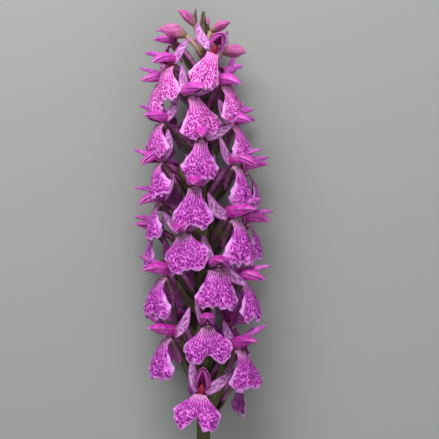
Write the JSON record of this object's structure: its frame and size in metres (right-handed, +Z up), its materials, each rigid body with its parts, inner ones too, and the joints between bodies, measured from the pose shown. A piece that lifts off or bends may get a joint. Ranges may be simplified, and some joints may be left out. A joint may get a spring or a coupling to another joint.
{
  "type": "marsh orchid flower spike",
  "caption": "Cut marsh orchid flower spike lying on its back: a green stem with dense magenta-pink, spotted flowers, dark green bracts and buds at the tip.",
  "frame": {"origin": "centre of the bottom of the whole spike's box, on the surface that it lies on", "axes": "+Y along the stem from the cut end to the tip, +Z up from the surface, +X to the right when seen from above with the tip away"},
  "size_m": [0.0364, 0.129, 0.0281],
  "materials": {
    "petal": "soft satin petals, pink-lilac with dark magenta loops and dots",
    "bud": "satin, pink-purple with a green base",
    "bract": "satin dark green, flushed purple-brown, finely veined",
    "stem": "satin green, finely ribbed, flushed purple inside the spike"
  },
  "bodies": {
    "root": {"stem": "stem", "flower_front_1": "petal", "flower_front_2": "petal", "flower_front_3": "petal", "flower_front_4": "petal", "flower_front_5": "petal", "flower_front_6": "petal", "flower_front_7": "petal", "flower_front_8": "petal", "flower_left_1": "petal", "flower_left_2": "petal", "flower_left_3": "petal", "flower_left_4": "petal", "flower_left_5": "petal", "flower_left_6": "petal", "flower_left_7": "petal", "flower_right_1": "petal", "flower_right_2": "petal", "flower_right_3": "petal", "flower_right_4": "petal", "flower_right_5": "petal", "flower_right_6": "petal", "flower_right_7": "petal", "flower_back_left_1": "petal", "flower_back_left_2": "petal", "flower_back_left_3": "petal", "flower_back_left_4": "petal", "flower_back_left_5": "petal", "flower_back_left_6": "petal", "flower_back_right_1": "petal", "flower_back_right_2": "petal", "flower_back_right_3": "petal", "flower_back_right_4": "petal", "flower_back_right_5": "petal", "flower_back_right_6": "petal", "flower_back_1": "petal", "flower_back_2": "petal", "flower_back_3": "petal", "flower_back_4": "petal", "flower_back_5": "petal", "flower_back_6": "petal", "flower_back_7": "petal", "bud_left_high": "bud", "bud_left_low": "bud", "bud_right_high": "bud", "bud_right_low": "bud", "bud_back_high": "bud", "bud_back_low": "bud", "bract_lowest_right": "bract", "bract_lowest_left": "bract", "bract_left_long": "bract", "bract_under_front_7": "bract", "bract_middle_left": "bract", "bract_middle_front": "bract", "bract_upper_right": "bract", "bract_upper_front": "bract", "bract_back_low": "bract", "bract_back_right_low": "bract", "bract_tip": "bract"}
  },
  "joints": []
}
